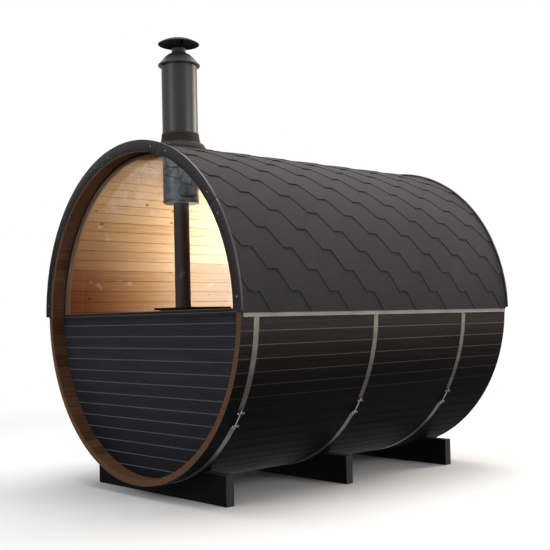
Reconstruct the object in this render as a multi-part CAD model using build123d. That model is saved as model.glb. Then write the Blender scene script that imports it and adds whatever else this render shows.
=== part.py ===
"""Barrel sauna: a coopered stave shell lying on three cradles, with a glazed front end.

The origin is on the ground under the middle of the barrel. +X is to the right seen from the
glazed end, +Y runs into the barrel away from that end and +Z is up. All sizes are in millimetres.
Levels and angles in a cross-section are taken from the barrel's axis, angles from the right side up.
"""

import math
import os

from build123d import *

os.makedirs("parts", exist_ok=True)

# Barrel shell
barrel_radius = 1140
barrel_length = 2620
stave_thickness = 42
stave_count = 84
first_joint_angle = -1.6
outer_bevel = 3.5
inner_bevel = 2.5
joint_gap = 0.4
stave_groups = (
    "staves_upper_right",
    "staves_crown",
    "staves_upper_left",
    "staves_lower_left",
    "staves_keel",
    "staves_lower_right",
)

# Cradles, each given with its distance from the front end
cradle_positions = {"cradle_front": 203, "cradle_middle": 1270, "cradle_rear": 2369}
cradle_length = 1500
cradle_thickness = 65
cradle_height = 197
cradle_seat = 77
cradle_edge = 4
seat_gap = 0.3

# Steel hoops in two halves, drawn together on both sides by a screw between two cross pins
band_positions = {"band_front": 118, "band_middle": 1159, "band_rear": 2102}
band_width = 40
band_thickness = 1.2
upper_eye_angle = -32.4
lower_eye_angle = -37.3
eye_sides = 8
screw_sides = 6
eye_slot_width = 16
pin_radius = 8
pin_length = 50
pin_clearance = 0.2
screw_radius = 4
screw_clearance = 0.3
screw_overrun = 22
nut_width = 12
nut_height = 7

# Roof covering
shingle_thickness = 4.5
eaves_angle = -0.5
first_butt_angle = 6.0
last_head_angle = 88.8
course_count = 12
course_lap = 10
course_settle = 0.5
ridge_half_angle = 5.0
layer_gap = 0.4
drip_thickness = 1
drip_face = 26
drip_tongue = 45
drip_kick = 4
drip_setback = 16

# Fascia arches on both ends
fascia_overhang = 23
fascia_height = 78
fascia_thickness = 16

# End walls and the half-moon window
wall_recess = 100
wall_thickness = 42
sill_height = 20
sill_overhang = 10
glass_thickness = 8
glass_edge_gap = 2
stop_width = 20
stop_seat = 0.2

# Door in the rear wall
door_width = 680
door_head_margin = 34
door_thickness = 40
door_gap = 3
frame_width = 55
frame_depth = 62
threshold_height = 30
hinge_inset = 260
hinge_height = 90
hinge_radius = 7
hinge_sides = 8
hinge_flap = 38
hinge_plate = 3
handle_level = 900
handle_inset = 70
handle_length = 320
handle_width = 28
handle_depth = 24
handle_edge = 6
handle_standoff = 34
standoff_width = 20
standoff_inset = 45

# Floor
floor_drop = 860
floor_thickness = 28
bearer_height = 70
bearer_width = 48
bearer_count = 4
bearer_end_gap = 120

# Stove
stove_front_gap = 146
stove_width = 380
stove_depth = 344
stove_corner = 40
stove_foot_height = 60
stove_foot_width = 34
stove_height = 904
stove_plate_width = 440
stove_plate_depth = 404
stove_plate_thickness = 14
stove_flue_inset = 119

# Chimney
flue_radius = 54
flue_wall = 2
casing_radius = 124
casing_drop = 325
casing_rise = 608
casing_clearance = 0.5
hole_clearance = 3
spun_sides = 32
boot_height = 105
boot_outline = ((4, 0), (9, 39), (14, 56), (20, 68), (37, 77), (51, 95))
dome_overhang = 21
dome_skirt = 21
dome_rim_height = 11
dome_height = 83
dome_shoulder_radius = 108
dome_shoulder_height = 43
neck_radius = 49
neck_wall = 2
neck_height = 30
cap_gap = 30
cap_radius = 144
cap_rise = 48
cap_wall = 2
cap_ring_count = 4
cap_leg_width = 14
cap_leg_thickness = 2
cap_leg_count = 3
cap_leg_seat = 40

# Places along the barrel and up it, worked out from the sizes above
axis_height = barrel_radius + cradle_seat
front_end = -barrel_length / 2
rear_end = barrel_length / 2
front_wall_y = front_end + wall_recess
rear_wall_y = rear_end - wall_recess - wall_thickness
door_frame_y = rear_wall_y - (frame_depth - wall_thickness) / 2
flue_y = front_wall_y + wall_thickness + sill_overhang + stove_front_gap + stove_flue_inset
stove_y = flue_y + stove_plate_depth / 2 - stove_flue_inset
stove_top_level = stove_height - floor_drop

# Stave geometry
stave_angle = 360 / stave_count
half_stave = math.radians(stave_angle / 2)
outer_flat = barrel_radius * math.cos(half_stave)
inner_flat = (barrel_radius - stave_thickness) * math.cos(half_stave)
clear_radius = inner_flat - joint_gap

# Roof geometry: the line that the courses lie on, their slope and their outermost edge
course_angle = (last_head_angle - first_butt_angle) / course_count
roof_base = barrel_radius + seat_gap + band_thickness + layer_gap
course_depth = roof_base * math.radians(course_angle) + course_lap
course_clear = course_settle * course_depth**2 / (8 * roof_base)
lap_sag = course_lap * (course_depth - course_lap) / (2 * roof_base)
course_lift = (shingle_thickness + layer_gap + lap_sag) / (1 - course_lap / course_depth)
roof_top = roof_base + course_clear + course_lift + shingle_thickness

# Chimney levels
casing_bottom = clear_radius - casing_drop
casing_top = roof_top + casing_rise
neck_top = casing_top + layer_gap - dome_skirt + dome_rim_height + dome_height + neck_height
cap_rim_level = neck_top + cap_gap


def save(name, *pieces):
    solids = [solid for piece in pieces for solid in piece.solids()]
    export_step(Compound(solids), f"parts/{name}.step")


def section_plane(y):
    """Upright plane across the barrel at y, centred on the barrel's axis."""
    return Plane(origin=(0, y, axis_height), x_dir=(1, 0, 0), z_dir=(0, -1, 0))


def along_barrel(sketch, y, length):
    """Runs a cross-section of the barrel from y towards the rear."""
    return extrude(section_plane(y) * sketch, amount=-length)


def polar(radius, angle):
    return (radius * math.cos(math.radians(angle)), radius * math.sin(math.radians(angle)))


def mirrored(shape):
    return mirror(shape, about=Plane.YZ)


def upright(radius, bottom, top):
    """Cylinder on the flue's axis between two levels."""
    place = Pos(0, flue_y, axis_height + bottom)
    return place * Cylinder(radius, top - bottom, align=(Align.CENTER, Align.CENTER, Align.MIN))


def spun(points, bore=False):
    """Many-sided solid about the flue's axis, with its corners on the (radius, level) outline.

    A bore is drawn with its flat sides on the outline instead, so that a round tube fits it.
    """
    grow = 1 / math.cos(math.pi / spun_sides) if bore else 1
    turns = [360 * k / spun_sides for k in range(spun_sides + 1)]
    rings = [[Vector(*polar(radius * grow, turn), level) for turn in turns] for radius, level in points]
    faces = [Face(Wire.make_polygon(ring[:-1])) for ring in (rings[0], rings[-1])]
    for low, high in zip(rings, rings[1:]):
        for k in range(spun_sides):
            faces.append(Face(Wire.make_polygon([low[k], low[k + 1], high[k + 1], high[k]])))
    return Pos(0, flue_y, axis_height) * Solid(Shell(faces))


def stave_section():
    """One stave lying to the right of the axis, bevelled along its four long edges."""
    slope = math.tan(half_stave)

    def flank(u):
        return u * slope - joint_gap / 2

    upper = [
        (inner_flat, flank(inner_flat) - inner_bevel),
        (inner_flat + inner_bevel, flank(inner_flat + inner_bevel)),
        (outer_flat - outer_bevel, flank(outer_flat - outer_bevel)),
        (outer_flat, flank(outer_flat) - outer_bevel),
    ]
    lower = [(u, -v) for u, v in reversed(upper)]
    return make_face(Polyline(*upper, *lower, close=True))


def make_staves():
    section = stave_section()
    hole = upright(casing_radius + hole_clearance, 0, casing_top)
    groups = {name: [] for name in stave_groups}
    for number in range(stave_count):
        turn = first_joint_angle + (number + 0.5) * stave_angle
        across, level = polar(barrel_radius, turn)
        stave = along_barrel(Rot(0, 0, turn) * section, front_end, barrel_length)
        if level > 0 and abs(across) < casing_radius + 2 * half_stave * barrel_radius:
            stave -= hole
        name = stave_groups[number * len(stave_groups) // stave_count]
        groups[name].append(stave)
    for name, staves in groups.items():
        save(name, *staves)


def make_cradles():
    seat = Circle(barrel_radius + seat_gap)
    for name, position in cradle_positions.items():
        outline = Pos(0, cradle_height / 2 - axis_height) * Rectangle(cradle_length, cradle_height)
        beam = along_barrel(outline - seat, front_end + position - cradle_thickness / 2, cradle_thickness)
        ends = beam.edges().filter_by(Axis.Z).group_by(Axis.X)
        save(name, chamfer(ends[0] + ends[-1], cradle_edge))


def stave_turn(angle):
    """Angle from the middle of the stave that lies at an angle."""
    return (angle - first_joint_angle) % stave_angle - stave_angle / 2


def over_staves(angle, offset):
    """Point at an angle, an offset outside the flat outer faces of the staves."""
    return polar((outer_flat + offset) / math.cos(math.radians(stave_turn(angle))), angle)


def strap_section(start, end):
    """Strap drawn tight over the staves between two angles, bent at each joint."""
    first = math.ceil((start - first_joint_angle) / stave_angle)
    last = math.floor((end - first_joint_angle) / stave_angle)
    joints = [first_joint_angle + stave_angle * number for number in range(first, last + 1)]
    angles = [start, *joints, end]
    inside = [over_staves(angle, seat_gap) for angle in angles]
    outside = [over_staves(angle, seat_gap + band_thickness) for angle in reversed(angles)]
    return make_face(Polyline(*inside, *outside, close=True))


def eye_place(angle):
    """Middle of a pin, turned so that a flat side of it lies on the strap."""
    turn = stave_turn(angle)
    along = outer_flat * math.tan(math.radians(turn))
    out = outer_flat + seat_gap + band_thickness + pin_clearance + pin_radius
    return Rot(0, 0, angle - turn) * Pos(out, along) * Rot(0, 0, 180 / eye_sides)


def eye_section():
    """Strap end rolled round its pin, seen along the barrel."""
    inside = pin_radius + pin_clearance
    outer = RegularPolygon(inside + band_thickness, eye_sides, major_radius=False)
    return outer - RegularPolygon(inside, eye_sides, major_radius=False)


def make_tensioner(y, low, high):
    """Slot through the strap ends, cross pins and screw of the tensioner between two eyes."""
    start = low.position
    reach = high.position - start
    direction = reach.normalized()
    foot = start - direction * screw_overrun
    length = reach.length + 2 * screw_overrun
    plane = Plane(
        origin=(foot.X, y, axis_height + foot.Y),
        x_dir=(0, 1, 0),
        z_dir=(direction.X, 0, direction.Y),
    )
    slot = extrude(plane * Rectangle(eye_slot_width, 4 * pin_radius), amount=length)
    bore_width = 2 * (screw_radius + screw_clearance)
    bore = extrude(plane * Rectangle(bore_width, bore_width), amount=length)
    screw = extrude(plane * RegularPolygon(screw_radius, screw_sides), amount=length)
    nut_face = RegularPolygon(nut_width / 2, screw_sides, major_radius=False)
    nut_place = screw_overrun - pin_radius - nut_height - layer_gap
    for shift in (nut_place, length - nut_place - nut_height):
        screw += extrude(plane.offset(shift) * nut_face, amount=nut_height)
    pin = RegularPolygon(pin_radius, eye_sides, major_radius=False)
    pins = [along_barrel(place * pin, y - pin_length / 2, pin_length) - bore for place in (low, high)]
    return slot, pins, screw


def make_hoops():
    upper_eyes = (upper_eye_angle, 180 - upper_eye_angle)
    lower_eyes = (180 - lower_eye_angle, 360 + lower_eye_angle)
    tensioners = ((lower_eyes[1], upper_eyes[0]), lower_eyes[:1] + upper_eyes[1:])
    pins, screws = [], []
    for name, position in band_positions.items():
        y = front_end + position
        start = y - band_width / 2
        slots = []
        for low, high in tensioners:
            slot, pair, screw = make_tensioner(y, eye_place(low), eye_place(high))
            slots.append(slot)
            pins += pair
            screws.append(screw)
        straps = []
        for ends in (upper_eyes, lower_eyes):
            strap = along_barrel(strap_section(*ends), start, band_width)
            for angle in ends:
                eye = along_barrel(eye_place(angle) * eye_section(), start, band_width)
                strap += eye - slots[0] - slots[1]
            straps.append(strap)
        save(name, *straps)
    save("tensioner_pins", *pins)
    save("tensioner_screws", *screws)


def course_section(butt, head, lift, tail):
    """Flat shingle course, raised by lift at its butt and by tail at its head."""
    points = [
        polar(roof_base + lift, butt),
        polar(roof_base + lift + shingle_thickness, butt),
        polar(roof_base + tail + shingle_thickness, head),
        polar(roof_base + tail, head),
    ]
    return make_face(Polyline(*points, close=True))


def make_roof():
    start = front_end + layer_gap
    length = barrel_length - 2 * layer_gap
    hole = upright(casing_radius + hole_clearance, 0, casing_top)
    lap = math.degrees(course_lap / roof_base)
    lift = course_clear + course_lift
    butts = [eaves_angle] + [first_butt_angle + course_angle * k for k in range(course_count)]
    heads = [*butts[1:], last_head_angle]
    courses = []
    for butt, head in zip(butts, heads):
        strip = along_barrel(course_section(butt, head + lap, lift, course_clear), start, length)
        near_flue = polar(roof_base, head)[0] < casing_radius + hole_clearance
        courses.append(strip - hole if near_flue else strip)
    save("roof_courses_right", *courses)
    save("roof_courses_left", *[mirrored(course) for course in courses])

    seam = math.degrees(layer_gap / 2 / roof_base)
    tail = course_clear + shingle_thickness + 2 * layer_gap
    section = course_section(90 - ridge_half_angle, 90 - seam, lift, tail)
    strip = along_barrel(section, start, length) - hole
    save("roof_ridge", strip, mirrored(strip))


def make_drip_edges():
    """Folded metal strip under the lowest course, kicked out at its foot."""
    eaves = polar(roof_base, eaves_angle)[1]
    foot = eaves - drip_face
    points = [
        (roof_base, eaves + drip_tongue),
        (roof_base, foot + drip_kick),
        (roof_base + drip_kick, foot),
        (roof_base + drip_kick + drip_thickness, foot + drip_thickness),
        (roof_base + drip_thickness, foot + drip_kick + drip_thickness),
        (roof_base + drip_thickness, eaves + drip_tongue),
    ]
    section = make_face(Polyline(*points, close=True))
    start = front_end + drip_setback
    strip = along_barrel(section, start, rear_end - start)
    save("drip_edges", strip, mirrored(strip))


def make_fascias():
    outer = barrel_radius + fascia_overhang
    ring = Circle(outer) - Circle(outer - fascia_height)
    corner = Pos(joint_gap / 2, 0) * Rectangle(outer, outer, align=(Align.MIN, Align.MIN))
    for name, y in (("fascia_front", front_end - fascia_thickness), ("fascia_rear", rear_end)):
        half = along_barrel(ring & corner, y, fascia_thickness)
        save(name, half, mirrored(half))


def shell_disc(inset):
    """Cross-section of the space inside the shell, an inset clear of the staves' flat inner faces."""
    return Rot(0, 0, first_joint_angle) * RegularPolygon(inner_flat - inset, stave_count, major_radius=False)


def half_moon(inset, base):
    """Shell disc cut off level at a height above the barrel's axis."""
    size = 2 * barrel_radius
    return shell_disc(inset) & (Pos(0, base) * Rectangle(size, size, align=(Align.CENTER, Align.MIN)))


def make_front_end():
    size = 2 * barrel_radius
    below = Pos(0, -sill_height) * Rectangle(size, size, align=(Align.CENTER, Align.MAX))
    save("front_wall", along_barrel(shell_disc(joint_gap) & below, front_wall_y, wall_thickness))

    strip = Rectangle(size, sill_height, align=(Align.CENTER, Align.MAX))
    sill = half_moon(joint_gap, -sill_height) & strip
    save("front_sill", along_barrel(sill, front_wall_y - sill_overhang, wall_thickness + 2 * sill_overhang))

    stop_depth = (wall_thickness - glass_thickness) / 2
    glass = half_moon(glass_edge_gap, glass_edge_gap)
    save("window_glass", along_barrel(glass, front_wall_y + stop_depth, glass_thickness))

    stop = half_moon(joint_gap, 0) - half_moon(joint_gap + stop_width, stop_width)
    depth = stop_depth - stop_seat
    save("window_stop_outer", along_barrel(stop, front_wall_y, depth))
    save("window_stop_inner", along_barrel(stop, front_wall_y + wall_thickness - depth, depth))


def make_rear_end():
    opening = door_width / 2 + door_gap
    outer = opening + frame_width
    frame_top = math.sqrt(clear_radius**2 - outer**2) - door_head_margin
    frame_foot = -floor_drop - door_gap
    leaf_foot = frame_foot + threshold_height + door_gap
    door_height = frame_top - frame_width - door_gap - leaf_foot

    size = 2 * barrel_radius
    disc = shell_disc(joint_gap)
    right = Pos(outer + joint_gap, 0) * Rectangle(size, size, align=(Align.MIN, Align.CENTER))
    save("rear_wall_right", along_barrel(disc & right, rear_wall_y, wall_thickness))
    left = Pos(-outer - joint_gap, 0) * Rectangle(size, size, align=(Align.MAX, Align.CENTER))
    save("rear_wall_left", along_barrel(disc & left, rear_wall_y, wall_thickness))
    middle = disc & Rectangle(2 * outer, size)
    above = Pos(0, frame_top + joint_gap) * Rectangle(size, size, align=(Align.CENTER, Align.MIN))
    save("rear_wall_head", along_barrel(middle & above, rear_wall_y, wall_thickness))
    below = Pos(0, frame_foot - joint_gap) * Rectangle(size, size, align=(Align.CENTER, Align.MAX))
    save("rear_wall_foot", along_barrel(middle & below, rear_wall_y, wall_thickness))

    post_height = frame_top - frame_width - joint_gap - frame_foot
    post = Pos(opening, frame_foot) * Rectangle(frame_width, post_height, align=(Align.MIN, Align.MIN))
    post_solid = along_barrel(post, door_frame_y, frame_depth)
    lintel = Pos(0, frame_top) * Rectangle(2 * outer, frame_width, align=(Align.CENTER, Align.MAX))
    step_width = 2 * (opening - joint_gap)
    step = Pos(0, frame_foot) * Rectangle(step_width, threshold_height, align=(Align.CENTER, Align.MIN))
    save(
        "door_frame",
        post_solid,
        mirrored(post_solid),
        along_barrel(lintel, door_frame_y, frame_depth),
        along_barrel(step, door_frame_y, frame_depth),
    )

    outside = door_frame_y + frame_depth
    leaf = Pos(0, leaf_foot) * Rectangle(door_width, door_height, align=(Align.CENTER, Align.MIN))
    save("door_leaf", along_barrel(leaf, outside - door_thickness, door_thickness))

    hinges = []
    for height in (hinge_inset, door_height - hinge_inset):
        place = Pos(-(door_width + door_gap) / 2, outside, axis_height + leaf_foot + height)
        flaps = Box(2 * hinge_flap, hinge_plate, hinge_height, align=(Align.CENTER, Align.MIN, Align.CENTER))
        knuckle = extrude(RegularPolygon(hinge_radius, hinge_sides), amount=hinge_height / 2, both=True)
        hinges.append(place * (flaps + Pos(0, hinge_radius, 0) * knuckle))
    save("door_hinges", *hinges)

    rail = Pos(0, handle_standoff, 0) * Box(
        handle_width, handle_depth, handle_length, align=(Align.CENTER, Align.MIN, Align.CENTER)
    )
    handle = chamfer(rail.edges().filter_by(Axis.Z), handle_edge)
    for side in (-1, 1):
        handle += Pos(0, 0, side * (handle_length / 2 - standoff_inset)) * Box(
            standoff_width, handle_standoff, standoff_width, align=(Align.CENTER, Align.MIN, Align.CENTER)
        )
    grip_place = Pos(door_width / 2 - handle_inset, outside, axis_height + leaf_foot + handle_level)
    save("door_handle", grip_place * handle)


def make_floor():
    start = front_wall_y + wall_thickness + joint_gap
    length = door_frame_y - joint_gap - start
    half = math.sqrt(clear_radius**2 - (floor_drop + floor_thickness) ** 2) - joint_gap
    deck = Pos(0, -floor_drop) * Rectangle(2 * half, floor_thickness, align=(Align.CENTER, Align.MAX))
    save("floor_deck", along_barrel(deck, start, length))

    under = Pos(0, -floor_drop - floor_thickness)
    strip = under * Rectangle(2 * half, bearer_height, align=(Align.CENTER, Align.MAX))
    bearer = strip & shell_disc(2 * joint_gap)
    spacing = (length - 2 * bearer_end_gap - bearer_width) / (bearer_count - 1)
    bearers = [
        along_barrel(bearer, start + bearer_end_gap + spacing * k, bearer_width) for k in range(bearer_count)
    ]
    save("floor_bearers", *bearers)


def make_stove():
    standing = (Align.CENTER, Align.CENTER, Align.MIN)
    floor = Pos(0, stove_y, axis_height - floor_drop)
    body_height = stove_height - stove_foot_height - stove_plate_thickness
    body = Box(stove_width, stove_depth, body_height, align=standing)
    body = chamfer(body.edges().filter_by(Axis.Z), stove_corner)
    save("stove_body", floor * Pos(0, 0, stove_foot_height) * body)

    foot = floor * Box(stove_foot_width, stove_foot_width, stove_foot_height, align=standing)
    inset_x = stove_width / 2 - stove_corner
    inset_y = stove_depth / 2 - stove_corner
    save("stove_feet", *[Pos(x, y, 0) * foot for x in (-inset_x, inset_x) for y in (-inset_y, inset_y)])

    plate = Box(stove_plate_width, stove_plate_depth, stove_plate_thickness, align=standing)
    plate = chamfer(plate.edges().filter_by(Axis.Z), stove_corner)
    save("stove_top", floor * Pos(0, 0, stove_height - stove_plate_thickness) * plate)


def make_flue():
    flue = upright(flue_radius, stove_top_level, casing_top)
    save("flue_pipe", flue - upright(flue_radius - flue_wall, stove_top_level, casing_top))
    bore = upright(flue_radius + casing_clearance, casing_bottom, casing_top)
    save("chimney_casing", upright(casing_radius, casing_bottom, casing_top) - bore)


def make_boot():
    """Rubber boot round the casing, flared to a flange that lies on the roof."""
    top = roof_top + boot_height
    outline = [(casing_radius + out, top - drop) for out, drop in boot_outline]
    boot = spun([*outline, (outline[-1][0], 0)])
    boot -= spun([(casing_radius + seat_gap, top), (casing_radius + seat_gap, 0)], bore=True)
    crown = along_barrel(Circle(roof_top + layer_gap), front_end, barrel_length)
    save("chimney_boot", boot - crown)


def make_dome():
    """Spun cover over the casing's top, with a rolled rim and a short neck."""
    seat = casing_top + layer_gap
    foot = seat - dome_skirt
    rim = casing_radius + dome_overhang
    rim_top = foot + dome_rim_height
    outline = [
        (rim, foot),
        (rim, rim_top),
        (dome_shoulder_radius, rim_top + dome_shoulder_height),
        (neck_radius, rim_top + dome_height),
        (neck_radius, neck_top),
    ]
    skirt = spun([(casing_radius + seat_gap, foot), (casing_radius + seat_gap, seat)], bore=True)
    spigot = spun([(neck_radius - neck_wall, seat), (neck_radius - neck_wall, neck_top)])
    save("chimney_dome", spun(outline) - skirt - spigot)


def cap_outline(radius, rise):
    """Rings of a shallow dome over the cap's rim, from the rim up."""
    shares = [1 - k / cap_ring_count for k in range(cap_ring_count)]
    return [(radius * share, cap_rim_level + rise * (1 - share**2)) for share in shares]


def make_cap():
    """Spun rain cap on legs that stand in the dome's neck."""
    under = cap_outline(cap_radius - cap_wall, cap_rise - cap_wall)
    save("rain_cap", spun(cap_outline(cap_radius, cap_rise)) - spun(under))

    corner = (neck_radius - neck_wall) * math.cos(math.pi / spun_sides) - seat_gap
    leg_radius = math.sqrt(corner**2 - (cap_leg_width / 2) ** 2) - cap_leg_thickness / 2
    leg_foot = neck_top - cap_leg_seat
    leg_height = cap_rim_level + cap_rise - leg_foot
    leg = Pos(leg_radius, 0, 0) * Box(
        cap_leg_thickness, cap_leg_width, leg_height, align=(Align.CENTER, Align.CENTER, Align.MIN)
    )
    place = Pos(0, flue_y, axis_height + leg_foot)
    room = spun([(under[0][0], leg_foot), *[(radius, level - seat_gap) for radius, level in under]])
    legs = [place * Rot(0, 0, 360 * k / cap_leg_count) * leg & room for k in range(cap_leg_count)]
    save("cap_legs", *legs)


make_staves()
make_cradles()
make_hoops()
make_roof()
make_drip_edges()
make_fascias()
make_front_end()
make_rear_end()
make_floor()
make_stove()
make_flue()
make_boot()
make_dome()
make_cap()
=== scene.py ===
import bmesh
import bpy
import math
import random
from mathutils import Matrix, Vector


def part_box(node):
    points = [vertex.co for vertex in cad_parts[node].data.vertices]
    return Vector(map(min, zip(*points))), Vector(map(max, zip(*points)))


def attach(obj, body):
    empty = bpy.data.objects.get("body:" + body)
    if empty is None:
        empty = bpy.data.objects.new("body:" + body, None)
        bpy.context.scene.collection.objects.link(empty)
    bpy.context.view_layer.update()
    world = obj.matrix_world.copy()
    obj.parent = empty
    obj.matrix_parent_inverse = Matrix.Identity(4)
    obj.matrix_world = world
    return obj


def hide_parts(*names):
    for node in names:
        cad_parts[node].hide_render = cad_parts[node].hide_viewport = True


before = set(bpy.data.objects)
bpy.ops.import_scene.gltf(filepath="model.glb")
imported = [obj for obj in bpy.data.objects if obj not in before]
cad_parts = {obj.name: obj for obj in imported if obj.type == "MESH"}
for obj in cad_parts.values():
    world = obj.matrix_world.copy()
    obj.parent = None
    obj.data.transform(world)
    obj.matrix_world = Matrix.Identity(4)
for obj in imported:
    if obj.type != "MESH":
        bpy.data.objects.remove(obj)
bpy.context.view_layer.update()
random.seed(11)
print("loaded", len(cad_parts), "nodes")

# The barrel lies along Y with its axis at axisZ; lengths in metres, angles in degrees from the right side up
barrel = {
    "radius": 1.14,
    "inside": 1.0968,
    "axisZ": 1.217,
    "front": -1.31,
    "rear": 1.31,
    "staves": 84,
    "firstJoint": -1.6,
    "wallFace": -1.21,
    "wallDepth": 0.042,
    "rearWallFace": 1.168,
    "roofBase": 1.1419,
    "flueY": -0.893,
}
axisZ = barrel["axisZ"]


def pickNothing():
    if bpy.context.mode != "OBJECT":
        bpy.ops.object.mode_set(mode="OBJECT")
    bpy.ops.object.select_all(action="DESELECT")


def pickOnly(piece):
    pickNothing()
    piece.select_set(True)
    bpy.context.view_layer.objects.active = piece


def namePiece(name):
    piece = bpy.context.object
    piece.name = name
    piece.data.name = name
    return piece


def settle(piece):
    # the place, turn and scale go into the mesh
    pickOnly(piece)
    bpy.ops.object.transform_apply(location=True, rotation=True, scale=True)
    return piece


def removePieces(*pieces):
    for piece in filter(None, pieces):
        bpy.data.objects.remove(piece, do_unlink=True)


def startCube(name, low, high):
    pickNothing()
    low, high = Vector(low), Vector(high)
    bpy.ops.mesh.primitive_cube_add(size=1, location=(low + high) / 2)
    piece = namePiece(name)
    piece.scale = high - low
    return settle(piece)


def startRod(name, radius, length, sides, place, turn=(0, 0, 0)):
    pickNothing()
    bpy.ops.mesh.primitive_cylinder_add(vertices=sides, radius=radius, depth=length, location=place, rotation=turn)
    return settle(namePiece(name))


def editPiece(piece, kind="FACE"):
    pickOnly(piece)
    bpy.ops.object.mode_set(mode="EDIT")
    bpy.ops.mesh.select_mode(type=kind)
    bpy.ops.mesh.select_all(action="DESELECT")


def pickWhere(piece, parts, test):
    # selects faces, edges or corners in edit mode by their place or normal
    mesh = bmesh.from_edit_mesh(piece.data)
    for part in getattr(mesh, parts):
        part.select_set(bool(test(part)))
    mesh.select_flush_mode()
    bmesh.update_edit_mesh(piece.data)


def leaveEdit():
    bpy.ops.object.mode_set(mode="OBJECT")


def applyModifier(piece, kind, **settings):
    pickOnly(piece)
    bpy.ops.object.modifier_add(type=kind)
    modifier = piece.modifiers[-1]
    for key, value in settings.items():
        setattr(modifier, key, value)
    bpy.ops.object.modifier_apply(modifier=modifier.name)


def cutWith(piece, tool, operation="DIFFERENCE", keepTool=False):
    applyModifier(piece, "BOOLEAN", operation=operation, object=tool, solver="EXACT")
    if not keepTool:
        removePieces(tool)


def copyPiece(piece, name, move=(0, 0, 0)):
    pickOnly(piece)
    bpy.ops.object.duplicate()
    copy = namePiece(name)
    copy.location = move
    return settle(copy)


def joinPieces(name, pieces):
    pickNothing()
    for piece in pieces:
        piece.select_set(True)
    bpy.context.view_layer.objects.active = pieces[0]
    if len(pieces) > 1:
        bpy.ops.object.join()
    return namePiece(name)


def mendFaces(piece):
    editPiece(piece, "VERT")
    bpy.ops.mesh.select_all(action="SELECT")
    bpy.ops.mesh.remove_doubles(threshold=0.00002)
    bpy.ops.mesh.normals_make_consistent(inside=False)
    leaveEdit()


def flipPiece(piece, axis):
    # mirrors the mesh across x = 0 or y = 0
    for vertex in piece.data.vertices:
        vertex.co[axis] = -vertex.co[axis]
    mendFaces(piece)


def smoothPiece(piece, degrees):
    pickOnly(piece)
    bpy.ops.object.shade_smooth_by_angle(angle=math.radians(degrees))


def bevelPiece(piece, width, segments, limit):
    angle = math.radians(limit)
    applyModifier(piece, "BEVEL", width=width, segments=segments, limit_method="ANGLE", angle_limit=angle)


def polar(radius, degrees):
    turn = math.radians(degrees)
    return radius * math.cos(turn), axisZ + radius * math.sin(turn)


def ringPoint(radius, degrees, y):
    x, z = polar(radius, degrees)
    return Vector((x, y, z))


def turnRound(piece, angle):
    # turns the mesh about the barrel's axis
    centre = Matrix.Translation((0, 0, axisZ))
    piece.data.transform(centre @ Matrix.Rotation(angle, 4, "Y") @ centre.inverted())


def turnPiece(name, outline, sides=96):
    # a ring round the flue is extruded and resized from one (radius, level above the barrel's axis) to the next
    pickNothing()
    radius, level = outline[0]
    bpy.ops.mesh.primitive_circle_add(vertices=sides, radius=radius, location=(0, barrel["flueY"], axisZ + level))
    piece = settle(namePiece(name))
    editPiece(piece, "EDGE")
    bpy.ops.mesh.select_all(action="SELECT")
    for nextRadius, nextLevel in outline[1:]:
        middle = (0, barrel["flueY"], axisZ + nextLevel)
        share = nextRadius / radius
        bpy.ops.mesh.extrude_region_move(TRANSFORM_OT_translate={"value": (0, 0, nextLevel - level)})
        bpy.ops.transform.resize(value=(share, share, 1), center_override=middle)
        radius, level = nextRadius, nextLevel
    leaveEdit()
    return piece


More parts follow.
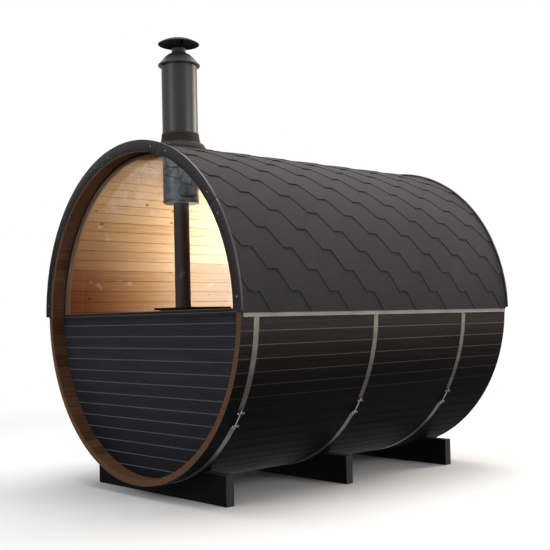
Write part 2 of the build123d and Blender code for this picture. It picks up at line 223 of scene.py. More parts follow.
class Net:
    # a node tree, with short names for the steps that the finishes are made of
    def __init__(self, tree, material=None):
        self.tree, self.material = tree, material
        self.shader = tree.nodes.get("Principled BSDF")

    def feed(self, socket, value):
        if isinstance(value, bpy.types.NodeSocket):
            self.tree.links.new(value, socket)
        elif socket.type == "RGBA":
            socket.default_value = (*value[:3], 1)
        else:
            socket.default_value = value

    def add(self, kind, inputs=None, **settings):
        node = self.tree.nodes.new("ShaderNode" + kind)
        for key, value in settings.items():
            setattr(node, key, value)
        for key, value in (inputs or {}).items():
            self.feed(node.inputs[key], value)
        return node

    def maths(self, operation, first, second=0.0):
        return self.add("Math", {0: first, 1: second}, operation=operation).outputs[0]

    def times(self, first, second):
        return self.maths("MULTIPLY", first, second)

    def plus(self, first, second):
        return self.maths("ADD", first, second)

    def minus(self, first, second):
        return self.maths("SUBTRACT", first, second)

    def above(self, first, second):
        return self.maths("GREATER_THAN", first, second)

    def under(self, first, second):
        return self.maths("LESS_THAN", first, second)

    def span(self, value, low, high, start=0.0, end=1.0):
        inputs = {"Value": value, "From Min": low, "From Max": high, "To Min": start, "To Max": end}
        return self.add("MapRange", inputs, clamp=True).outputs[0]

    def mix(self, share, first, second, blend="MIX"):
        inputs = {0: share, 6: first, 7: second}
        return self.add("Mix", inputs, data_type="RGBA", blend_type=blend, clamp_factor=True).outputs[2]

    def noise(self, vector, scale, detail=3.0, roughness=0.55):
        inputs = {"Vector": vector, "Scale": scale, "Detail": detail, "Roughness": roughness}
        return self.add("TexNoise", inputs).outputs[0]

    def place(self):
        return self.add("TexCoord").outputs["Object"]

    def parts(self, vector):
        return self.add("SeparateXYZ", {0: vector}).outputs

    def vector(self, *parts):
        return self.add("CombineXYZ", dict(enumerate(parts))).outputs[0]

    def moved(self, vector, shift):
        return self.add("VectorMath", {0: vector, 1: shift}, operation="ADD").outputs[0]

    def scaled(self, vector, scale):
        return self.add("Mapping", {"Vector": vector, "Scale": scale}).outputs[0]

    def nearJoint(self, count, width):
        # distance from the nearest whole count, each count being width wide
        share = self.maths("FRACT", self.plus(count, 200.0))
        return self.times(self.maths("MINIMUM", share, self.minus(1.0, share)), width)

    def use(self, group, **inputs):
        node = self.tree.nodes.new("ShaderNodeGroup")
        node.node_tree = group
        for key, value in inputs.items():
            self.feed(node.inputs[key], value)
        return node.outputs

    def finish(self, colour, rough, height, strength, distance):
        inputs = self.shader.inputs
        self.feed(inputs["Base Color"], colour)
        self.feed(inputs["Roughness"], rough)
        bump = self.add("Bump", {"Height": height, "Strength": strength, "Distance": distance})
        self.feed(inputs["Normal"], bump.outputs[0])
        return self.material


def newMaterial(name, **fixed):
    material = bpy.data.materials.new(name)
    material.use_nodes = True
    net = Net(material.node_tree, material)
    for key, value in fixed.items():
        net.shader.inputs[key.replace("_", " ")].default_value = value
    return net


def makeGroup(name, vector, floats, outputs, fill):
    # a node group with one vector and some numbers going in; fill gives its outputs in their order
    tree = bpy.data.node_groups.new(name, "ShaderNodeTree")
    inputs = {vector: "Vector", **dict.fromkeys(floats, "Float")}
    for kinds, side in ((inputs, "INPUT"), (outputs, "OUTPUT")):
        for key, kind in kinds.items():
            tree.interface.new_socket(name=key, in_out=side, socket_type="NodeSocket" + kind)
    start, end = tree.nodes.new("NodeGroupInput").outputs, tree.nodes.new("NodeGroupOutput").inputs
    net = Net(tree)
    for key, value in zip(outputs, fill(net, *[start[key] for key in inputs])):
        net.feed(end[key], value)
    return tree


def fillStaveLayout(net, place):
    # where a point lies on the coopered shell
    x, y, z = net.parts(place)
    rise = net.minus(z, axisZ)
    turn = net.maths("ARCTAN2", rise, x)
    angle = net.maths("DEGREES", turn)
    radius = net.maths("SQRT", net.plus(net.maths("POWER", rise, 2.0), net.maths("POWER", x, 2.0)))
    step = 360 / barrel["staves"]
    count = net.maths("DIVIDE", net.minus(angle, barrel["firstJoint"]), step)
    near = net.nearJoint(count, math.radians(step) * barrel["radius"])
    unrolled = net.vector(y, net.times(turn, barrel["radius"]), radius)
    return net.maths("FLOOR", count), near, angle, radius, y, unrolled


def fillTimberGrain(net, vector, board, knotShare):
    # grain runs along the vector's x, and the board's number shifts it from one board to the next
    tone = net.add("TexWhiteNoise", {"W": board}, noise_dimensions="1D").outputs[0]
    moved = net.moved(vector, net.vector(net.times(tone, 31.0), net.times(tone, 17.0)))
    knotPlace = net.scaled(moved, (6.0, 11.0, 11.0))
    knots = net.add("TexVoronoi", {"Vector": knotPlace, "Scale": 1.0, "Randomness": 0.9}).outputs
    pick = net.add("SeparateColor", {0: knots["Color"]}).outputs[0]
    knot = net.times(net.span(knots["Distance"], 0.13, 0.06), net.under(pick, knotShare))
    swirl = net.times(net.span(knots["Distance"], 0.5, 0.05), 0.012)
    bent = net.moved(moved, net.vector(0.0, swirl))
    grain = net.noise(net.scaled(bent, (1.3, 95.0, 20.0)), 1.0, 4.0, 0.6)
    fibre = net.noise(net.scaled(moved, (9.0, 420.0, 120.0)), 1.0, 2.0, 0.5)
    return grain, fibre, knot, tone


def fillWeather(net, place, stainScale, speckScale):
    # broad stains and small specks
    stain = net.noise(place, stainScale, 4.0, 0.6)
    speck = net.noise(place, speckScale, 2.0, 0.6)
    return net.span(stain, 0.35, 0.7), net.span(speck, 0.56, 0.7)


layoutOutputs = {**dict.fromkeys(("Number", "Joint", "Angle", "Radius", "Along"), "Float"), "Unrolled": "Vector"}
grainOutputs = dict.fromkeys(("Grain", "Fibre", "Knots", "Tone"), "Float")
staveLayout = makeGroup("staveLayout", "Place", (), layoutOutputs, fillStaveLayout)
timberGrain = makeGroup("timberGrain", "Vector", ("Board", "Knots"), grainOutputs, fillTimberGrain)
weather = makeGroup("weather", "Place", ("Stain", "Speck"), {"Stain": "Float", "Speck": "Float"}, fillWeather)

# Colours of the finishes, as linear values
finishes = {
    "blackPaint": (0.0062, 0.0057, 0.0060),
    "blackWorn": (0.0155, 0.0138, 0.0140),
    # a painted highlight for the shell's upper joints, then faded paint with a painted sky sheen for the upper
    # staves
    "jointHighlight": (0.215, 0.190, 0.180),
    "fadedSheenDark": (0.060, 0.050, 0.046),
    "fadedSheenPale": (0.092, 0.077, 0.072),
    "thermo": (0.165, 0.080, 0.044),
    "thermoDark": (0.045, 0.021, 0.012),
    "endGrain": (0.150, 0.085, 0.052),
    "pine": (0.56, 0.345, 0.155),
    "pinePale": (0.68, 0.48, 0.27),
    # the next two are a painted shade and a painted pale glare for the cabin's pine
    "pineShade": (0.43, 0.230, 0.155),
    "pineGlare": (0.52, 0.50, 0.45),
    "pineDark": (0.35, 0.17, 0.062),
    "pineJoint": (0.19, 0.085, 0.030),
    "knot": (0.20, 0.075, 0.026),
    "blueBlack": (0.0225, 0.0223, 0.0272),
    "blueBlackPale": (0.044, 0.0435, 0.051),
    # the pale joint lines are bare timber in the grooves with a painted highlight
    "boardEdgeHighlight": (0.175, 0.175, 0.190),
    "boardKnot": (0.010, 0.010, 0.012),
    # a painted shade for the foot of the walls
    "boardFootShade": (0.004, 0.004, 0.005),
    "fascia": (0.0180, 0.0150, 0.0150),
    "fasciaPale": (0.034, 0.0285, 0.0280),
    # the fascia's outer edge: worn pale, with a painted highlight
    "fasciaEdgeLit": (0.16, 0.14, 0.12),
    "fasciaInner": (0.24, 0.135, 0.075),
    "stop": (0.024, 0.020, 0.020),
    "stopDark": (0.015, 0.013, 0.013),
    "stopWorn": (0.31, 0.20, 0.13),
    "casing": (0.0045, 0.0045, 0.0058),
    "casingPale": (0.0085, 0.0080, 0.0098),
    "burnt": (0.020, 0.014, 0.010),
    "burntDark": (0.010, 0.008, 0.007),
    "bareSteel": (0.34, 0.29, 0.24),
    "slate": (0.029, 0.0275, 0.0290),
    "slatePale": (0.060, 0.0565, 0.0605),
    "slateSpeck": (0.15, 0.14, 0.14),
    "bitumen": (0.012, 0.011, 0.011),
    "bitumenPale": (0.020, 0.019, 0.019),
    "chalk": (0.27, 0.245, 0.205),
    "chalkDark": (0.19, 0.165, 0.135),
    "brownSteel": (0.060, 0.042, 0.036),
    "brownSteelDark": (0.030, 0.022, 0.020),
    "underSteel": (0.095, 0.094, 0.097),
    "underSteelDark": (0.042, 0.041, 0.043),
    "glass": (0.97, 0.98, 0.985),
    "glassHaze": (0.90, 0.92, 0.94),
}


def pineColour(net, grain, near):
    # near is the distance from the board's joint, in metres
    base = net.mix(net.span(grain["Grain"], 0.40, 0.72, 0.0, 0.85), finishes["pine"], finishes["pineDark"])
    tones = net.mix(net.span(grain["Tone"], 0.0, 1.0, 0.0, 0.6), base, finishes["pinePale"])
    streaks = net.mix(net.span(grain["Fibre"], 0.5, 0.8, 0.0, 0.45), tones, finishes["pineDark"])
    knots = net.mix(grain["Knots"], streaks, finishes["knot"])
    return net.mix(net.span(near, 0.0026, 0.0010), knots, finishes["pineJoint"])


def paintColour(net, grain, stain, dark, pale):
    base = net.mix(net.span(grain["Grain"], 0.42, 0.72, 0.0, 0.65), finishes[dark], finishes[pale])
    streaks = net.mix(net.span(grain["Fibre"], 0.5, 0.75, 0.0, 0.35), base, finishes[pale])
    tones = net.mix(net.span(grain["Tone"], 0.0, 1.0, 0.0, 0.3), streaks, finishes[dark])
    return net.mix(net.times(stain, 0.25), tones, finishes[pale])


def fibreRough(net, grain, low, high):
    return net.span(grain["Fibre"], 0.3, 0.8, low, high)


def makeStaveMaterial():
    shell = {"outside": 1.1345, "cutEnd": 1.3098, "cabin": 1.19}
    net = newMaterial("staveTimber", Specular_IOR_Level=0.012)
    place = net.place()
    layout = net.use(staveLayout, Place=place)
    grain = net.use(timberGrain, Vector=layout["Unrolled"], Board=layout["Number"], Knots=0.34)
    stain = net.use(weather, Place=place, Stain=1.7)["Stain"]
    level, along = net.parts(place)[2], layout["Along"]
    outside = net.above(layout["Radius"], shell["outside"])
    cutEnd = net.above(net.maths("ABSOLUTE", along), shell["cutEnd"])
    between = net.times(net.above(along, -shell["cabin"]), net.under(along, shell["cabin"]))
    # the paint is faded and carries a painted sky sheen up to the roof's edge, and the joints there get a painted
    # highlight
    paint = paintColour(net, grain, stain, "blackPaint", "blackWorn")
    faded = net.span(level, axisZ - 0.50, axisZ - 0.02)
    fadedSheenColour = net.mix(net.span(grain["Grain"], 0.42, 0.72), finishes["fadedSheenDark"], finishes["fadedSheenPale"])
    paint = net.mix(net.times(faded, faded), paint, fadedSheenColour)
    lit = net.span(level, axisZ - 0.75, axisZ - 0.10)
    edge = net.times(net.span(layout["Joint"], 0.0046, 0.0024), net.times(net.times(lit, lit), 0.92))
    paint = net.mix(edge, paint, finishes["jointHighlight"])
    # browned timber at the open ends
    brown = net.mix(net.span(grain["Grain"], 0.4, 0.75, 0.0, 0.6), finishes["thermo"], finishes["thermoDark"])
    brown = net.mix(net.span(grain["Tone"], 0.6, 1.0, 0.0, 0.6), brown, finishes["thermoDark"])
    brown = net.mix(grain["Knots"], brown, finishes["thermoDark"])
    rings = net.noise(net.scaled(place, (60.0, 4.0, 60.0)), 3.0, 4.0)
    ends = net.mix(net.span(rings, 0.4, 0.65), finishes["endGrain"], finishes["thermo"])
    # pine inside, with a painted shade low down near the window and a painted pale glare towards the door
    pineShadeShare = net.times(net.span(along, -0.1, -1.0), net.span(level, axisZ + 0.95, axisZ + 0.15, 0.0, 1.0))
    pine = net.mix(pineShadeShare, pineColour(net, grain, layout["Joint"]), finishes["pineShade"], "MULTIPLY")
    pine = net.mix(net.span(along, -0.45, 0.7, 0.0, 0.5), pine, finishes["pineGlare"])
    colour = net.mix(outside, net.mix(between, brown, pine), paint)
    rough = net.plus(fibreRough(net, grain, 0.50, 0.66), net.times(net.minus(1.0, outside), 0.15))
    height = net.plus(net.times(grain["Grain"], 0.7), net.times(grain["Fibre"], 0.3))
    return net.finish(net.mix(cutEnd, colour, ends), rough, height, 0.5, 0.0012)


def makeBoardMaterial(name, grid, inner, vertical=False, paints=("blueBlack", "blueBlackPale")):
    # boards on an end wall: painted on the weather side, pine on the cabin side
    net = newMaterial(name, Specular_IOR_Level=0.05)
    place = net.place()
    x, y, z = net.parts(place)
    along, across = (z, x) if vertical else (x, z)
    count = net.maths("DIVIDE", net.minus(across, grid["first"]), grid["pitch"])
    board = net.plus(net.maths("FLOOR", count), grid["seed"])
    near = net.nearJoint(count, grid["pitch"])
    grain = net.use(timberGrain, Vector=net.vector(along, across, y), Board=board, Knots=0.3)
    paint = paintColour(net, grain, net.use(weather, Place=place, Stain=2.3)["Stain"], *paints)
    paint = net.mix(net.times(grain["Knots"], 0.6), paint, finishes["boardKnot"])
    # painted shade, darker towards the foot of the wall
    paint = net.mix(net.span(z, 0.85, 0.25, 0.0, 0.72), paint, finishes["boardFootShade"])
    # pale joint lines: bare timber in the grooves with a painted highlight
    paint = net.mix(net.times(net.span(near, 0.0038, 0.0026), grid["edge"]), paint, finishes["boardEdgeHighlight"])
    cabinSide = net.above(y, inner) if grid["front"] else net.under(y, inner)
    colour = net.mix(cabinSide, paint, pineColour(net, grain, near))
    height = net.plus(net.times(grain["Grain"], 0.6), net.times(grain["Fibre"], 0.4))
    return net.finish(colour, fibreRough(net, grain, 0.48, 0.66), height, 0.55, 0.0012)


def makeTimberMaterial(name, along, dark, pale, roughness, knotShare=0.2, edges=None, ends=None):
    # plain timber with grain along one axis; its upper edges and its ends may be paler: a pale line along the top
    # edge of the sill and of the cradles, and at the cradles' ends pale end grain with a painted highlight
    net = newMaterial(name, Specular_IOR_Level=0.02)
    place = net.place()
    parts = net.parts(place)
    order = {"x": (0, 2, 1), "y": (1, 0, 2), "z": (2, 0, 1)}[along]
    board = net.maths("FLOOR", net.times(parts[order[1]], 9.0))
    grain = net.use(timberGrain, Vector=net.vector(*[parts[k] for k in order]), Board=board, Knots=knotShare)
    stain = net.use(weather, Place=place, Stain=3.0)["Stain"]
    colour = net.mix(net.span(grain["Grain"], 0.35, 0.7), dark, pale)
    colour = net.mix(net.times(grain["Knots"], 0.7), colour, [0.4 * part for part in dark])
    colour = net.mix(net.times(stain, 0.3), colour, pale)
    if edges:
        top = net.span(parts[2], edges["level"] - 0.0035, edges["level"] - 0.002)
        colour = net.mix(net.times(top, edges["share"]), colour, edges["colour"])
    if ends:
        out = net.span(net.maths("ABSOLUTE", parts[0]), ends["x"] - 0.0035, ends["x"] - 0.0015)
        rings = net.noise(net.scaled(place, (4.0, 90.0, 90.0)), 1.0, 3.0)
        colour = net.mix(net.times(out, net.span(rings, 0.35, 0.7, 0.5, 1.0)), colour, ends["colour"])
    rough = fibreRough(net, grain, roughness - 0.07, roughness + 0.08)
    return net.finish(colour, rough, net.plus(grain["Grain"], grain["Fibre"]), 0.4, 0.001)


def makeFasciaMaterial():
    # each pair is a radius where the look changes
    rim = {"worn": (1.1608, 1.1622), "inner": (1.0862, 1.0856)}
    net = newMaterial("fasciaBoard", Specular_IOR_Level=0.2)
    place = net.place()
    layout = net.use(staveLayout, Place=place)
    angle, radius, along = (layout[key] for key in ("Angle", "Radius", "Along"))
    lined = net.scaled(net.vector(angle, radius, along), (0.02, 1.0, 1.0))
    grain = net.use(timberGrain, Vector=lined, Board=along, Knots=0.12)
    stain = net.use(weather, Place=place, Stain=2.6)["Stain"]
    paint = paintColour(net, grain, stain, "fascia", "fasciaPale")
    # the outer edge is worn pale and carries a painted highlight
    paint = net.mix(net.times(net.span(radius, *rim["worn"]), 0.35), paint, finishes["fasciaEdgeLit"])
    colour = net.mix(net.span(radius, *rim["inner"]), paint, finishes["fasciaInner"])
    return net.finish(colour, fibreRough(net, grain, 0.36, 0.5), grain["Fibre"], 0.25, 0.0008)


def makeStopMaterial():
    # dark glazing beads, worn pale along the edge that meets the glass
    bead = {"bar": 0.0203, "arcWorn": (1.0810, 1.0795), "barWorn": (0.0165, 0.0180)}
    net = newMaterial("stopTimber", Specular_IOR_Level=0.08)
    place = net.place()
    layout = net.use(staveLayout, Place=place)
    vector = net.vector(net.times(layout["Angle"], 0.02), layout["Radius"], layout["Along"])
    grain = net.use(timberGrain, Vector=vector, Board=3.0, Knots=0.1)
    level = net.minus(net.parts(place)[2], axisZ)
    onBar = net.under(level, bead["bar"])
    arcEdge = net.times(net.span(layout["Radius"], *bead["arcWorn"]), net.minus(1.0, onBar))
    barEdge = net.times(net.span(level, *bead["barWorn"]), onBar)
    colour = net.mix(net.span(grain["Grain"], 0.35, 0.7), finishes["stop"], finishes["stopDark"])
    worn = net.times(net.maths("MAXIMUM", arcEdge, barEdge), 0.75)
    colour = net.mix(worn, colour, finishes["stopWorn"])
    return net.finish(colour, fibreRough(net, grain, 0.5, 0.65), grain["Grain"], 0.3, 0.0008)


def makeCasingMaterial():
    # painted tube; its lowest ring under the roof is bare heat-browned steel
    tube = {"collar": (2.0665, 2.0635), "foot": (1.9915, 1.9905)}
    net = newMaterial("casingPaint", Metallic=0.05, Specular_IOR_Level=0.48)
    place = net.place()
    stain = net.use(weather, Place=place, Stain=3.5)["Stain"]
    lines = net.noise(net.scaled(place, (30.0, 30.0, 3.0)), 4.0, 3.0)
    paint = net.mix(net.times(stain, 0.5), finishes["casing"], finishes["casingPale"])
    level = net.parts(place)[2]
    burnt = net.mix(lines, finishes["burnt"], finishes["burntDark"])
    colour = net.mix(net.span(level, *tube["collar"]), paint, burnt)
    colour = net.mix(net.times(net.span(level, *tube["foot"]), 0.7), colour, finishes["bareSteel"])
    return net.finish(colour, net.span(lines, 0.3, 0.7, 0.35, 0.43), lines, 0.04, 0.0005)


def makeShingleMaterial(name, dark, pale, speckShare):
    # crushed slate on bitumen; each tab has its own tone, kept in the mesh as tabTone
    net = newMaterial(name, Specular_IOR_Level=0.12)
    place = net.place()
    marks = net.use(weather, Place=place, Stain=1.3, Speck=420.0)
    fine = net.noise(place, 900.0, 2.0, 0.7)
    tone = net.add("Attribute", attribute_name="tabTone").outputs["Fac"]
    colour = net.mix(net.span(fine, 0.3, 0.72), finishes[dark], finishes[pale])
    colour = net.mix(net.span(tone, 0.0, 1.0, 0.0, 0.4), colour, finishes[dark])
    colour = net.mix(net.times(marks["Stain"], 0.3), colour, finishes[pale])
    colour = net.mix(net.times(marks["Speck"], speckShare), colour, finishes["slateSpeck"])
    return net.finish(colour, net.span(fine, 0.3, 0.7, 0.8, 0.95), fine, 0.6, 0.0012)


def makeMetalMaterial(name, colour, worn, **changes):
    look = {
        "rough": 0.5, "metallic": 0.1, "stain": 0.5, "scale": 6.0, "specular": 0.3,
        "brushed": (40.0, 40.0, 40.0), "bump": 0.05, "grooves": None, **changes,
    }
    net = newMaterial(name, Metallic=look["metallic"], Specular_IOR_Level=look["specular"])
    place = net.place()
    marks = net.use(weather, Place=place, Stain=look["scale"], Speck=350.0)
    lines = net.noise(net.scaled(place, look["brushed"]), 4.0, 3.0)
    mixed = net.mix(net.times(marks["Stain"], look["stain"]), colour, worn)
    mixed = net.mix(net.span(lines, 0.4, 0.7, 0.0, 0.25), mixed, worn)
    if look["grooves"]:
        # painted shade lies in the lower half of each step
        grooves = look["grooves"]
        below = net.maths("DIVIDE", net.minus(grooves["top"], net.parts(place)[2]), grooves["step"])
        grooveShade = net.times(net.span(net.maths("FRACT", below), 0.45, 0.85), net.under(below, grooves["count"]))
        mixed = net.mix(grooveShade, mixed, grooves["dark"])
    rough = net.span(lines, 0.3, 0.7, look["rough"] - 0.06, look["rough"] + 0.08)
    rough = net.plus(rough, net.times(marks["Speck"], 0.12))
    return net.finish(mixed, rough, lines, look["bump"], 0.0005)


def makeHoopMaterial():
    # galvanized straps: chalky where rain runs off the roof, browned further down
    net = newMaterial("hoopSteel", Metallic=0.55)
    place = net.place()
    angle = net.use(staveLayout, Place=place)["Angle"]
    stain = net.use(weather, Place=place, Stain=14.0)["Stain"]
    chalk, brown, under = (
        net.mix(stain, finishes[key], finishes[key + "Dark"]) for key in ("chalk", "brownSteel", "underSteel")
    )
    colour = net.mix(net.span(angle, -3.0, -24.0), chalk, brown)
    colour = net.mix(net.span(angle, -36.5, -37.5), colour, under)
    return net.finish(colour, net.span(stain, 0.0, 1.0, 0.38, 0.55), stain, 0.15, 0.0006)


def makeGlassMaterial():
    # the haze is a thin film of dust and dried drops
    net = newMaterial("windowGlass", Transmission_Weight=1.0, IOR=1.45, Metallic=0.0)
    haze = net.noise(net.scaled(net.place(), (2.0, 1.0, 3.0)), 1.6, 4.0, 0.6)
    net.feed(net.shader.inputs["Roughness"], net.span(haze, 0.45, 0.75, 0.01, 0.05))
    colour = net.mix(net.span(haze, 0.5, 0.8), finishes["glass"], finishes["glassHaze"])
    net.feed(net.shader.inputs["Base Color"], colour)
    return net.material


print("groups and materials")
staveTimber = makeStaveMaterial()
frontGrid = {"first": axisZ - 0.0695, "pitch": 0.0804, "seed": 0.0, "edge": 0.72, "front": True}
rearGrid = {**frontGrid, "seed": 40.0, "edge": 0.6, "front": False}
doorGrid = {"first": -0.34, "pitch": 0.68 / 7, "seed": 80.0, "edge": 0.35, "front": False}
frontBoards = makeBoardMaterial("frontBoards", frontGrid, barrel["wallFace"] + 0.021)
rearBoards = makeBoardMaterial("rearBoards", rearGrid, barrel["rearWallFace"] + 0.021)
doorBoards = makeBoardMaterial("doorBoards", doorGrid, 1.19, True, ("blackPaint", "blackWorn"))
fasciaBoard = makeFasciaMaterial()
cradleEdge = {"level": 0.197, "share": 0.5, "colour": (0.10, 0.095, 0.095)}
# the cradles' ends are pale end grain with a painted highlight
cradleEndLit = {"x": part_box("cradle_front")[1].x, "colour": (0.090, 0.085, 0.088)}
sillEdge = {"level": axisZ, "share": 0.6, "colour": (0.30, 0.235, 0.175)}
# name, the axis of its grain, dark and pale colour, roughness, share of knots, pale upper edges and pale ends
timbers = {name: makeTimberMaterial(name, *values) for name, *values in (
    ("cradleTimber", "x", (0.0036, 0.0036, 0.0040), (0.0080, 0.0076, 0.0080), 0.66, 0.2, cradleEdge, cradleEndLit),
    ("sillTimber", "x", (0.020, 0.019, 0.023), (0.036, 0.034, 0.038), 0.6, 0.1, sillEdge),
    ("frameTimber", "z", (0.075, 0.042, 0.028), (0.12, 0.07, 0.045), 0.55, 0.15),
    ("floorTimber", "y", (0.34, 0.21, 0.11), (0.48, 0.31, 0.17), 0.6, 0.3),
    ("bearerTimber", "x", (0.32, 0.21, 0.12), (0.42, 0.29, 0.17), 0.7, 0.3),
)}
stopTimber = makeStopMaterial()
shingle = makeShingleMaterial("shingleFace", "slate", "slatePale", 0.5)
shingleCut = makeShingleMaterial("shingleCut", "bitumen", "bitumenPale", 0.0)
dripMetal = makeMetalMaterial(
    "dripMetal", (0.35, 0.33, 0.32), (0.20, 0.187, 0.180),
    rough=0.42, metallic=0.2, stain=0.6, brushed=(4.0, 0.6, 60.0),
)
brightSteel = makeMetalMaterial(
    "brightSteel", (0.38, 0.38, 0.385), (0.14, 0.135, 0.13), rough=0.36, metallic=1.0, stain=0.6, scale=30.0,
)
ironBlack = makeMetalMaterial(
    "stoveIron", (0.009, 0.009, 0.010), (0.016, 0.014, 0.013), rough=0.55, scale=7.0, specular=0.15,
)
flueIron = makeMetalMaterial(
    "flueIron", (0.070, 0.057, 0.048), (0.105, 0.087, 0.074), rough=0.45, scale=5.0, brushed=(20.0, 20.0, 2.0),
)
casingPaint = makeCasingMaterial()
domePaint = makeMetalMaterial("domePaint", (0.024, 0.024, 0.028), (0.034, 0.032, 0.034))
capPaint = makeMetalMaterial(
    "capPaint", (0.0075, 0.0074, 0.0080), (0.013, 0.0125, 0.0120),
    rough=0.66, metallic=0.0, stain=0.4, specular=0.07,
)
rubber = makeMetalMaterial(
    "bootRubber", (0.030, 0.026, 0.023), (0.056, 0.048, 0.042),
    rough=0.68, metallic=0.0, stain=0.6, scale=12.0, specular=0.15, bump=0.1,
    # the dark colour in the grooves is a painted shade
    grooves={"top": axisZ + 1.2585, "step": 0.0175, "count": 4.0, "dark": (0.007, 0.006, 0.006)},
)
windowGlass = makeGlassMaterial()
hoopSteel = makeHoopMaterial()


def dress(material, *names):
    for name in names:
        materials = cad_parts[name].data.materials
        materials.clear()
        materials.append(material)


def finishPiece(piece, replaced, materials, degrees=None):
    # with more than one material, the faces keep their own numbers
    if degrees:
        smoothPiece(piece, degrees)
    numbers = [face.material_index for face in piece.data.polygons]
    piece.data.materials.clear()
    for material in materials:
        piece.data.materials.append(material)
    if len(materials) > 1:
        piece.data.polygons.foreach_set("material_index", numbers)
    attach(piece, "root")
    if replaced:
        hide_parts(*replaced)
    print(piece.name, len(piece.data.polygons), "faces")


# The roof's tabs; angles in degrees round the barrel
tab = {
    "pitch": 0.3333,
    "flat": 0.076,
    "run": 0.0895,
    "thickness": 0.0036,
    "gap": 0.0004,
    "exposure": 6.9,
    "firstButt": 6.0,
    "eaves": -0.5,
    "courses": 12,
    "centre": barrel["front"] + 0.0995,
    "lap": 0.03,
    "head": 89.4,
    "front": barrel["front"] + 0.0006,
    "rear": barrel["rear"] - 0.0006,
    "tongue": 0.0013,
    "hole": 0.127,
}
tabDeep = math.radians(tab["exposure"]) * barrel["roofBase"]
firstDeep = math.radians(tab["firstButt"] - tab["eaves"]) * barrel["roofBase"]


def startSheet(name, place, size, across, along):
    pickNothing()
    bpy.ops.mesh.primitive_grid_add(x_subdivisions=across, y_subdivisions=along, size=1, location=place)
    piece = namePiece(name)
    piece.scale = (*size, 1)
    return settle(piece)


def thickenSheet(piece, tone, thickness):
    # tone gives each face its shade, which the edges take over; the edges get the second material
    tones = piece.data.attributes.new("tabTone", "FLOAT", "FACE")
    for face in piece.data.polygons:
        tones.data[face.index].value = tone(face)
    applyModifier(piece, "SOLIDIFY", thickness=thickness, offset=1, material_offset_rim=1)


def layRound(piece, rule):
    # rule gives each corner of a flat strip its height over the roof's base and its angle
    for vertex in piece.data.vertices:
        lift, degrees = rule(vertex.co)
        x, z = polar(barrel["roofBase"] + lift, degrees)
        vertex.co = (x, vertex.co.y, z)


def makeStarter():
    # a plain strip behind the lowest tabs, over the drip edge's tongue
    long = firstDeep - 0.002
    strip = startSheet("starter", (long / 2, 0, 0), (long, tab["rear"] - tab["front"]), 5, 8)
    thickenSheet(strip, lambda face: 0.4, tab["thickness"])
    layRound(strip, lambda at: (
        tab["tongue"] * (1 - at.x / long) + 0.0002 + at.z,
        tab["eaves"] + math.degrees(at.x / barrel["roofBase"]),
    ))
    return strip


def makeTabs():
    # one tab is cut flat: a row of corners is drawn to the top of the cut-outs, then the corners below it go
    full = 2 * tabDeep + tab["lap"]
    cell = startSheet("tabCell", (full / 2, 0, 0), (full, tab["pitch"]), 9, 8)
    editPiece(cell)
    bpy.ops.mesh.select_all(action="SELECT")
    bpy.ops.mesh.bisect(plane_co=(tabDeep, 0, 0), plane_no=(1, 0, 0))
    for side in (-1, 1):
        pickWhere(cell, "faces", lambda face: face.calc_center_median().x < tabDeep)
        outward = Vector((-tab["run"], side * tabDeep, 0)).normalized()
        bpy.ops.mesh.bisect(plane_co=(0, side * tab["flat"] / 2, 0), plane_no=outward, clear_outer=True)
    bpy.ops.mesh.select_all(action="SELECT")
    bpy.ops.mesh.remove_doubles(threshold=0.0005)
    leaveEdit()
    count = math.ceil((barrel["rear"] - barrel["front"]) / tab["pitch"]) + 2
    applyModifier(
        cell, "ARRAY", count=count, use_relative_offset=False, use_constant_offset=True,
        constant_offset_displace=(0, tab["pitch"], 0), use_merge_vertices=True, merge_threshold=0.0002,
    )
    return cell


def makeCourse(tabs, number):
    # every second course is half a tab along; the lowest is shorter and lies on the starter
    butt = tab["firstButt"] + tab["exposure"] * (number - 1) if number else tab["eaves"]
    start = tab["centre"] - tab["pitch"] * (1 if number % 2 else 1.5)
    strip = copyPiece(tabs, f"course{number}", (0, start, 0))
    longest = math.radians(tab["head"] - butt) * barrel["roofBase"]
    editPiece(strip)
    for place, normal in (
        ((0, tab["front"], 0), (0, -1, 0)),
        ((0, tab["rear"], 0), (0, 1, 0)),
        ((longest, 0, 0), (1, 0, 0)),
    ):
        bpy.ops.mesh.select_all(action="SELECT")
        bpy.ops.mesh.bisect(plane_co=place, plane_no=normal, clear_outer=True)
    leaveEdit()
    chosen = {}

    def tone(face):
        return chosen.setdefault(round((face.center.y - start) / tab["pitch"]), random.random())

    def lay(at):
        if number or at.x >= tabDeep:
            lift, along = 2 * tab["thickness"] * max(0, 1 - at.x / (2 * tabDeep)), at.x
        else:
            lift = tab["thickness"] + tab["tongue"] * (1 - at.x / tabDeep)
            along = at.x * (firstDeep / tabDeep)
        return lift + tab["gap"] + at.z, butt + math.degrees(along / barrel["roofBase"])

    thickenSheet(strip, tone, tab["thickness"])
    layRound(strip, lay)
    return strip


